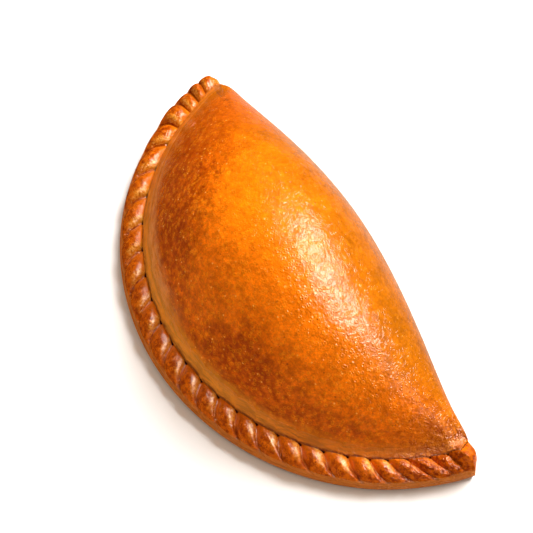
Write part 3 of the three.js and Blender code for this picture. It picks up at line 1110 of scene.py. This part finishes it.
    def speckled(
        self, bench: NodeBench, where: Socket, colour: Socket, grain: Socket, plenty: Socket
    ) -> Socket:
        """Adds cloudy grain, pale rings, pale specks that are partly painted glints, and dark pores to a
        colour.

        Args:
            bench: Where the nodes are laid.
            where: Place in millimetres.
            colour: Colour under the speckles.
            grain: Fine patches from 0 to 1.
            plenty: Share of the rings, specks and glints that shows.

        Returns:
            The speckled colour.
        """
        ring_patches = bench.grade(bench.cloud(where, self.ring_patch_size, 1.0), 0.3, 0.6, 0.2, 0.8)
        rings = bench.times(self.rings(bench, where), ring_patches, plenty)
        patches = bench.grade(bench.cloud(where, self.patch_size, 4.0, 0.6), 0.3, 0.7, 0.9, 1.1)
        fine = bench.grade(bench.cloud(where, self.fine_grain_size, 3.0, 0.7, 0.8), 0.32, 0.68, 0.84, 1.16)
        colour = bench.shaded(colour, bench.times(bench.grade(grain, 0.3, 0.7, 0.84, 1.14), patches, fine))
        rings = bench.times(rings, bench.grade(grain, 0.35, 0.65, 0.2, 0.5))
        colour = bench.mix(rings, colour, DonenessAndPaintedLight.GOLD)
        # partly painted glints: pale specks that stand in part for glints on the glaze's bumps
        flecks_and_glints = bench.grade(bench.cells(where, self.fleck_and_glint_spacing), 0.07, 0.15, 0.8, 0.0)
        flecks_and_glints = bench.times(flecks_and_glints, bench.grade(grain, 0.42, 0.55), plenty)
        colour = bench.mix(flecks_and_glints, colour, DonenessAndPaintedLight.PALE_FLECK_AND_GLINT)
        pores = bench.grade(bench.cells(bench.elsewhere(where), self.pore_spacing), 0.04, 0.1, 0.7, 0.0)
        return bench.mix(pores, colour, DonenessAndPaintedLight.PORE_AND_STITCH_SHADE)

    def glazed_strand(self, bench: NodeBench, spots: RopeSpots) -> Socket:
        """Brown glazed strands with orange troughs and a paler lip at the stitch line.

        Args:
            bench: Where the nodes are laid.
            spots: What the colours go by.

        Returns:
            The glaze's colour.
        """
        strand = bench.mix(bench.grade(spots.grain, 0.35, 0.65), DonenessAndPaintedLight.STRAND_DEEP, DonenessAndPaintedLight.STRAND)
        strand = bench.mix(bench.times(self.rings(bench, spots.where), 0.5), strand, DonenessAndPaintedLight.TROUGH)
        strand = bench.mix(bench.grade(spots.ragged_over, 0.14, 0.42, 0.7, 0.0), strand, DonenessAndPaintedLight.TROUGH)
        from_crest = bench.sum("ABSOLUTE", bench.sum("SUBTRACT", spots.ragged_phase, 0.52))
        inner = bench.grade(spots.ragged_over, 0.4, 0.62, 1.0, 0.0)
        strand = bench.mix(bench.times(bench.grade(from_crest, 0.32, 0.46), inner), strand, DonenessAndPaintedLight.TROUGH)
        return bench.mix(bench.grade(spots.over, 0.04, 0.17, 0.95, 0.0), strand, DonenessAndPaintedLight.LIP)

    def raw_flanks(self, bench: NodeBench, spots: RopeSpots, strand: Socket) -> Socket:
        """Adds the crackled raw dough on the strands' flanks, with specks of it further out.

        Args:
            bench: Where the nodes are laid.
            spots: What the colours go by.
            strand: Colour of the glazed strand.

        Returns:
            The strand with its flanks.
        """
        crackle = bench.cloud(spots.where, self.flank_crackle_size, 3.0, 0.7)
        cream = bench.mix(bench.grade(crackle, 0.5, 0.68), DonenessAndPaintedLight.CREAM, DonenessAndPaintedLight.RAW)
        phase = bench.plus(spots.ragged_phase, bench.grade(bench.value("strand"), 12.0, 20.0, 0.0, 0.1))
        inner = bench.grade(spots.ragged_over, 0.44, 0.7, 1.0, 0.0)
        flank = bench.times(bench.band(phase, 0.62, 0.76, 0.92, 1.02), inner)
        flank = bench.times(flank, bench.grade(crackle, 0.38, 0.5, 0.2, 1.0))
        strand = bench.mix(flank, strand, cream)
        hollow = bench.times(bench.grade(phase, 0.9, 1.02), bench.band(spots.over, 0.42, 0.52, 0.7, 0.8))
        strand = bench.mix(hollow, strand, DonenessAndPaintedLight.STRAND_DEEP)
        late = bench.grade(spots.ragged_phase, 0.3, 0.7)
        fading = bench.grade(spots.over, 0.5, 0.85, 0.85, 0.0)
        specks = bench.times(bench.grade(crackle, 0.58, 0.68), late, fading)
        return bench.mix(specks, strand, DonenessAndPaintedLight.CREAM)

    def rope_colour(self, bench: NodeBench, where: Socket, over: Socket) -> Socket:
        """Glazed strands with raw flanks and painted light, squeezed dough at the right tip, and the pale
        base edge.

        Args:
            bench: Where the nodes are laid.
            where: Place in millimetres.
            over: How far over the rope, 0 on the stitch line and 1 on the base edge.

        Returns:
            The colour of the crimp and the base edge.
        """
        grain = bench.cloud(where, self.strand_grain_size, 4.0, 0.68)
        ragged_over = bench.plus(over, bench.sway(grain, 0.25))
        ragged_phase = bench.plus(bench.value("phase"), bench.sway(grain, 0.3))
        spots = RopeSpots(where, grain, over, ragged_over, ragged_phase)
        strand = self.raw_flanks(bench, spots, self.glazed_strand(bench, spots))
        # painted light: strands darker near the left tip and lighter towards the front, where more light
        # falls
        strand = bench.shaded(strand, bench.grade(bench.value("strand"), 7.0, 14.0, *self.strand_painted_light))
        squeezed = bench.mix(bench.grade(grain, 0.4, 0.6), DonenessAndPaintedLight.STRAND_DEEP, DonenessAndPaintedLight.STRAND)
        strand = bench.mix(bench.grade(bench.value("tip"), 0.5, 1.0, 0.0, 0.85), strand, squeezed)
        strand = bench.mix(bench.grade(bench.value("pit"), *self.pit_darkens), strand, DonenessAndPaintedLight.PIT)
        ragged_base = bench.plus(over, bench.sway(grain, 0.06))
        base = bench.shaded(DonenessAndPaintedLight.BASE, bench.grade(self.fibres(bench), 0.3, 0.7, 0.82, 1.15))
        base = bench.mix(bench.grade(ragged_base, 1.1, 1.2), base, DonenessAndPaintedLight.STRAND_DEEP)
        return bench.mix(bench.grade(ragged_base, *self.base_starts), strand, base)

    def relief(self, bench: NodeBench, where: Socket) -> Socket:
        """Fine relief of the crust.

        Args:
            bench: Where the nodes are laid.
            where: Place in millimetres.

        Returns:
            The surface's direction.
        """
        over = bench.value("over")
        peel = bench.cloud(where, self.peel_size, 2.0, 0.5, 0.4)
        crackle = bench.cloud(where, self.crackle_size, 2.0, 0.6, 0.6)
        lumps = bench.cloud(where, self.lump_size, 2.0)
        low_down = bench.grade(bench.value("inland"), 3.0, 15.0, 1.0, 0.15)
        near_edge = bench.plus(low_down, bench.grade(over, 0.7, 0.9, 0.0, 0.6))
        wrinkles = bench.times(self.fibres(bench), near_edge, bench.grade(over, 0.0, 0.1, 1.0, 0.25))
        crinkles = bench.times(bench.cloud(where, self.crinkle_size, 3.0, 0.6, 1.0), bench.value("tip"))
        height = bench.plus(
            bench.times(self.rings(bench, where), self.ring_height),
            bench.times(crackle, bench.grade(over, 0.0, 0.1, *self.crackle_height)),
            bench.times(peel, self.peel_height),
            bench.times(lumps, self.lump_height),
            bench.times(wrinkles, self.wrinkle_height),
            bench.times(crinkles, self.crinkle_height),
        )
        bump = bench.lay("ShaderNodeBump", {"Height": height, "Strength": 1.0, "Distance": MM})
        return bump.outputs["Normal"]


@dataclass(frozen=True)
class PaleFloor:
    """A plain pale sweep under the pastry."""

    name: str = "studio_floor"
    side: float = 6.0
    colour: Colour = (0.9, 0.9, 0.9)

    def make(self) -> bpy.types.Object:
        """Lays the floor.

        Returns:
            The floor.
        """
        half = self.side / 2
        mesh = bpy.data.meshes.new(self.name)
        corners = [(-half, -half, 0), (half, -half, 0), (half, half, 0), (-half, half, 0)]
        mesh.from_pydata(corners, [], [tuple(range(len(corners)))])
        floor = bpy.data.objects.new(self.name, mesh)
        bpy.context.scene.collection.objects.link(floor)
        material = bpy.data.materials.new(self.name)
        material.use_nodes = True
        surface = material.node_tree.nodes["Principled BSDF"]
        surface.inputs["Base Color"].default_value = (*self.colour, 1.0)
        surface.inputs["Roughness"].default_value = 0.9
        surface.inputs["Specular IOR Level"].default_value = 0.0
        mesh.materials.append(material)
        floor.visible_glossy = False
        return floor


@dataclass(frozen=True)
class Softbox:
    """A rectangular studio light that looks at the pastry.

    Attributes:
        name: Its name.
        azimuth: Degrees round the pastry, 0 at the front (-Y) and 90 at +X.
        elevation: Degrees over the floor.
        distance: Metres from the pastry.
        size: Width and height in metres.
        power: Watts.
        colour: Tint of the light.
        lights_matt: Whether it lights matt surfaces.
        lights_gloss: Whether it shows in glossy ones.
    """

    name: str
    azimuth: float
    elevation: float
    distance: float
    size: tuple[float, float]
    power: float
    colour: Colour = (1.0, 1.0, 1.0)
    lights_matt: bool = True
    lights_gloss: bool = True

    def make(self) -> bpy.types.Object:
        """Hangs the light.

        Returns:
            The light's object.
        """
        light = bpy.data.lights.new(self.name, "AREA")
        light.shape = "RECTANGLE"
        light.size, light.size_y = self.size
        light.energy = self.power
        light.color = self.colour
        lamp = bpy.data.objects.new(self.name, light)
        bpy.context.scene.collection.objects.link(lamp)
        back = direction(self.azimuth, self.elevation)
        lamp.visible_diffuse, lamp.visible_glossy = self.lights_matt, self.lights_gloss
        lamp.location = back * self.distance
        lamp.rotation_mode = "QUATERNION"
        lamp.rotation_quaternion = (-back).to_track_quat("-Z", "Y")
        return lamp


def direction(azimuth: float, elevation: float) -> Vector:
    """Unit vector from the pastry outwards, 0 degrees towards -Y and 90 towards +X.

    Args:
        azimuth: Degrees round the pastry.
        elevation: Degrees over the floor.

    Returns:
        The direction.
    """
    a, e = math.radians(azimuth), math.radians(elevation)
    return Vector((math.sin(a) * math.cos(e), -math.cos(a) * math.cos(e), math.sin(e)))


@dataclass(frozen=True)
class TableCamera:
    """A long lens looking down on the pastry from its right front."""

    azimuth: float = 59.83
    elevation: float = 63.0
    field_of_view: float = 20.0
    distance: float = 0.4413
    target: tuple[float, float, float] = (-0.00985, 0.00847, 0.0)

    def make(self) -> bpy.types.Object:
        """Sets up the camera and makes it the scene's.

        Returns:
            The camera's object.
        """
        lens = bpy.data.cameras.new("table_camera")
        lens.sensor_fit = "HORIZONTAL"
        lens.angle = math.radians(self.field_of_view)
        lens.clip_start, lens.clip_end = 0.01, 50.0
        camera = bpy.data.objects.new("table_camera", lens)
        bpy.context.scene.collection.objects.link(camera)
        back = direction(self.azimuth, self.elevation)
        side = direction(self.azimuth + 90, 0)
        basis = Matrix((side, back.cross(side), back)).transposed().to_4x4()
        basis.translation = Vector(self.target) + back * self.distance
        camera.matrix_world = basis
        bpy.context.scene.camera = camera
        return camera


@dataclass
class Studio:
    """Floor, lights, surroundings and camera."""

    floor: PaleFloor = field(default_factory=PaleFloor)
    lights: tuple[Softbox, ...] = (
        Softbox("key_softbox", -163.0, 44.0, 1.5, (1.0, 0.8), 52.0, lights_gloss=False),
        Softbox("gloss_strip", 168.0, 62.5, 1.5, (1.4, 0.65), 122.0, (1.0, 0.92, 0.8), lights_matt=False),
        Softbox("tip_card", 112.0, 24.0, 1.5, (0.22, 0.8), 5.0, (1.0, 0.88, 0.72), lights_matt=False),
        Softbox("edge_card", -144.0, -50.0, 1.5, (1.2, 1.2), 3.4, (1.0, 0.92, 0.82), lights_matt=False),
    )
    surroundings: Colour = (0.56, 0.44, 0.34)
    camera: TableCamera = field(default_factory=TableCamera)

    def set_up(self) -> None:
        """Builds all of it and sets plain colour management."""
        self.floor.make()
        for light in self.lights:
            light.make()
            LOG.info("light %s", light.name)
        world = bpy.data.worlds.new("studio_air")
        world.use_nodes = True
        world.node_tree.nodes["Background"].inputs["Color"].default_value = (*self.surroundings, 1.0)
        world.cycles_visibility.glossy = False
        bpy.context.scene.world = world
        self.camera.make()
        scene = bpy.context.scene
        scene.view_settings.view_transform = "Standard"
        scene.cycles.use_denoising = True


def main() -> None:
    """Builds the studio, then the pastry, and dresses it."""
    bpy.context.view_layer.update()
    Studio().set_up()
    pastry = PastryShell()
    shell = pastry.make()
    pastry.dress(shell, EggWashedCrust().make())
    LOG.info("piece %s with %d faces", shell.name, len(shell.data.polygons))


if __name__ == "__main__":
    logging.basicConfig(level=logging.INFO)
    main()
